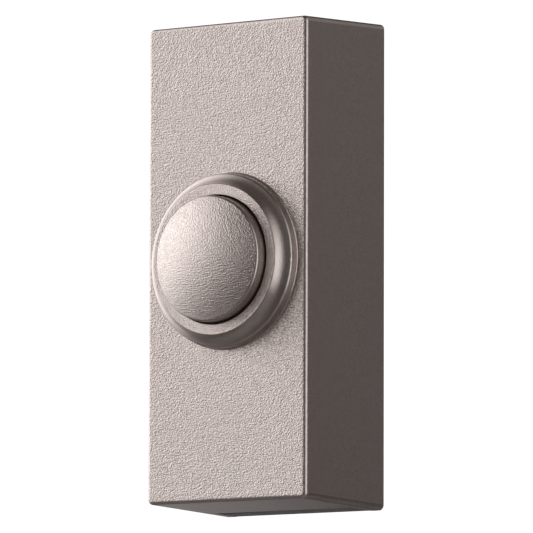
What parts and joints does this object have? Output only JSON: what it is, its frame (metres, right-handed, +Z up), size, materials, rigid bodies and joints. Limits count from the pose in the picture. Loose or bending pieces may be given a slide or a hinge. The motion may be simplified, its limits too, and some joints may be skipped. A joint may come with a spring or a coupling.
{
  "type": "doorbell push button",
  "caption": "Battery bell push for a door frame: tall drafted block housing with a round stepped bezel, a sprung domed push cap and a clip-on wall plate.",
  "frame": {"origin": "centre of the back face, on the plane of the wall", "axes": "+X to the right seen from the front, +Z up, the front with its push cap looks along -Y, +Y into the wall"},
  "size_m": [0.0356, 0.0318, 0.088],
  "materials": {
    "housing_coat": "pebbled metallic coat on moulded plastic",
    "cap_coat": "pebbled metallic coat on moulded plastic",
    "spring_wire": "drawn spring wire",
    "chassis_plastic": "plain moulded surface",
    "screw_zinc": "bright zinc plate",
    "board_resin": "solder mask over glass cloth",
    "switch_plastic": "moulded",
    "switch_steel": "stamped sheet",
    "stem_plastic": "moulded",
    "battery_sleeve": "printed film sleeve over a steel can",
    "contact_nickel": "nickel-plated sheet",
    "contact_wire": "nickel-plated wire",
    "chip_epoxy": "moulded epoxy",
    "can_steel": "drawn can",
    "capacitor_sleeve": "shrunk film sleeve",
    "enamelled_copper": "enamelled copper wire",
    "capacitor_ceramic": "fired ceramic",
    "resistor_ceramic": "fired ceramic",
    "header_plastic": "moulded",
    "jumper_plastic": "moulded",
    "plate_plastic": "fine matt moulded surface"
  },
  "bodies": {
    "housing": {"front_housing": "housing_coat", "return_spring": "spring_wire", "inner_chassis": "chassis_plastic", "chassis_screws": "screw_zinc", "circuit_board": "board_resin", "board_screws": "screw_zinc", "switch_body": "switch_plastic", "switch_cover": "switch_steel", "battery": "battery_sleeve", "positive_contact": "contact_nickel", "negative_contact": "contact_nickel", "contact_spring": "contact_wire", "transmitter_chip": "chip_epoxy", "resonator_can": "can_steel", "electrolytic_capacitor": "capacitor_sleeve", "antenna_coil": "enamelled_copper", "chip_capacitors": "capacitor_ceramic", "chip_resistors": "resistor_ceramic", "coding_header": "header_plastic", "jumper_caps": "jumper_plastic", "base_plate": "plate_plastic"},
    "push_button": {"push_cap": "cap_coat"},
    "switch_plunger": {"switch_stem": "stem_plastic"}
  },
  "joints": [
    {"name": "push", "type": "slide", "parent": "housing", "child": "push_button", "axis": [0, 1, 0], "range_m": [0, 0.0012], "stiffness_N_per_m": 185, "springref_m": -0.004, "deforming": ["return_spring"]},
    {"name": "switch_click", "type": "slide", "parent": "housing", "child": "switch_plunger", "axis": [0, 1, 0], "range_m": [0, 0.0003], "stiffness_N_per_m": 100, "springref_m": -0.0005}
  ],
  "couplings": [
    {"joint": "switch_click", "follows": "push", "ratio": 0.25}
  ]
}
